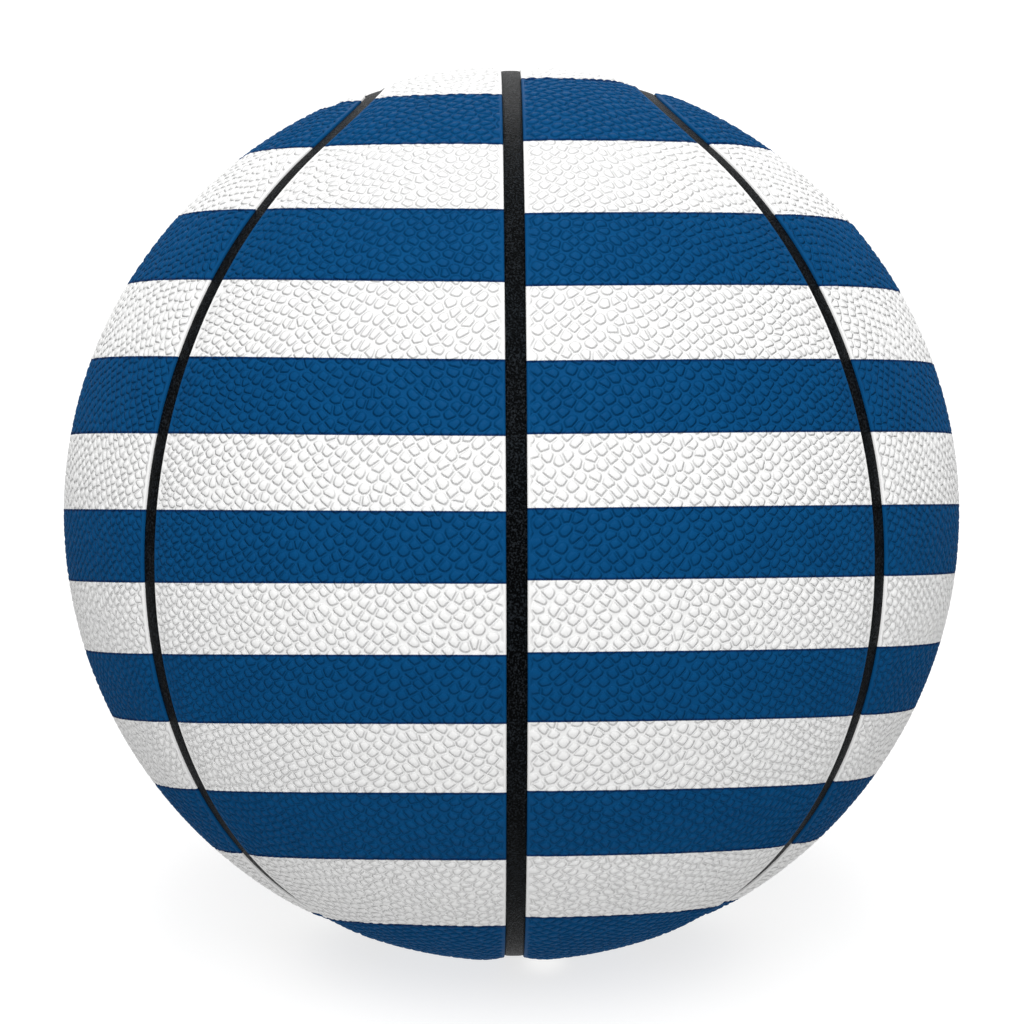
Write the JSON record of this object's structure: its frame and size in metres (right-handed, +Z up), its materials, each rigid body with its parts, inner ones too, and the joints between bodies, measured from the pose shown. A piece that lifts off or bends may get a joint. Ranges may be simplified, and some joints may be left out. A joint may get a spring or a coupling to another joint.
{
  "type": "basketball",
  "caption": "Inflated basketball with pebbled blue and white striped cover panels, recessed black seams and a needle valve in the back.",
  "frame": {"origin": "centre of the ball", "axes": "+Z up, -Y to the front of the picture; the long seam lies in the plane X = 0, the cross seam in Y = 0, and a seam loop goes round each X pole"},
  "size_m": [0.2392, 0.2392, 0.2388],
  "materials": {
    "cover": "pebbled synthetic leather, printed with blue and white stripes, satin",
    "seam_strip": "black moulded rubber with a fine grain, satin",
    "carcass": "moulded rubber, matt",
    "thread": "wound nylon thread, bonded",
    "bladder": "butyl rubber, smooth",
    "valve_rubber": "butyl rubber, matt"
  },
  "bodies": {
    "root": {"centre_panel_front_left": "cover", "centre_panel_front_right": "cover", "centre_panel_back_left": "cover", "centre_panel_back_right": "cover", "side_panel_front_left": "cover", "side_panel_front_right": "cover", "side_panel_back_left": "cover", "side_panel_back_right": "cover", "long_seam_strip": "seam_strip", "loop_strip_left": "seam_strip", "loop_strip_right": "seam_strip", "cross_strip_left": "seam_strip", "cross_strip_right": "seam_strip", "bridge_strip_top_left": "seam_strip", "bridge_strip_top_right": "seam_strip", "bridge_strip_bottom_left": "seam_strip", "bridge_strip_bottom_right": "seam_strip", "carcass": "carcass", "thread_winding": "thread", "bladder": "bladder", "valve_boot": "valve_rubber", "valve_plug": "valve_rubber"}
  },
  "joints": []
}
